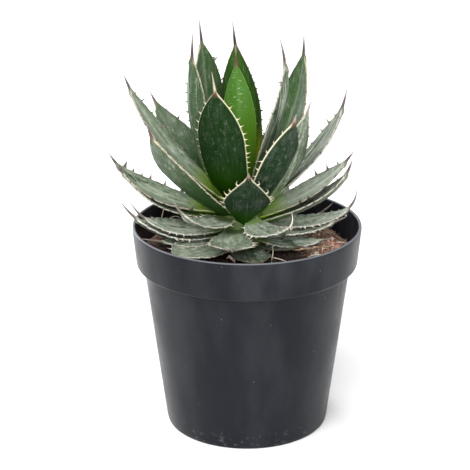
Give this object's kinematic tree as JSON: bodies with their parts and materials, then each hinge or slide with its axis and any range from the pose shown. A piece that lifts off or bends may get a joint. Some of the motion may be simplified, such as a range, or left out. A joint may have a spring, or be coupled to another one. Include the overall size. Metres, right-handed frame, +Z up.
{
  "type": "potted agave horrida",
  "caption": "Rosette of thick pointed agave leaves with toothed margins and dark end spines, growing in coir soil in a round dark plastic nursery pot.",
  "frame": {"origin": "centre of the pot's underside, on the surface that the pot stands on", "axes": "+Z up along the pot's axis, -Y towards the viewer of the picture, +X to that viewer's right"},
  "size_m": [0.1867, 0.171, 0.3057],
  "materials": {
    "pot_plastic": "smooth moulded plastic with a soft sheen and light scuffs",
    "soil_coir": "loose coconut fibre and crumbs, matt",
    "stem_flesh": "pale green waxy skin, satin",
    "leaf_flesh": "thick waxy leaf skin, grey green, satin, with pale horny margins"
  },
  "bodies": {
    "root": {"pot": "pot_plastic", "soil": "soil_coir", "stem": "stem_flesh", "leaf_bud": "leaf_flesh", "leaf_heart": "leaf_flesh", "leaf_rear_left_tall": "leaf_flesh", "leaf_front_tall": "leaf_flesh", "leaf_right_tall": "leaf_flesh", "leaf_left_tall": "leaf_flesh", "leaf_back_tall": "leaf_flesh", "leaf_rear_right_tall": "leaf_flesh", "leaf_front_right_upper": "leaf_flesh", "leaf_back_upper": "leaf_flesh", "leaf_back_right_upper": "leaf_flesh", "leaf_left_upper": "leaf_flesh", "leaf_right_inner": "leaf_flesh", "leaf_rear_left_upper": "leaf_flesh", "leaf_front_upper": "leaf_flesh", "leaf_right_upper": "leaf_flesh", "leaf_front_left_upper": "leaf_flesh", "leaf_back_middle": "leaf_flesh", "leaf_left_middle": "leaf_flesh", "leaf_back_left_middle": "leaf_flesh", "leaf_right_middle": "leaf_flesh", "leaf_left_middle_under": "leaf_flesh", "leaf_front_left_folded": "leaf_flesh", "leaf_back_right_middle": "leaf_flesh", "leaf_right_middle_under": "leaf_flesh", "leaf_back_left_inner": "leaf_flesh", "leaf_front_right_lower": "leaf_flesh", "leaf_back_lower": "leaf_flesh", "leaf_rear_right_lower": "leaf_flesh", "leaf_front_lower": "leaf_flesh", "leaf_right_lower": "leaf_flesh", "leaf_left_lower": "leaf_flesh", "leaf_right_lower_under": "leaf_flesh", "leaf_left_lower_under": "leaf_flesh", "leaf_rear_right_ground": "leaf_flesh", "leaf_rear_left_ground": "leaf_flesh", "leaf_back_ground": "leaf_flesh", "leaf_right_ground": "leaf_flesh", "leaf_front_left_ground": "leaf_flesh", "leaf_left_ground": "leaf_flesh", "leaf_front_ground": "leaf_flesh", "leaf_front_right_ground": "leaf_flesh"}
  },
  "joints": []
}
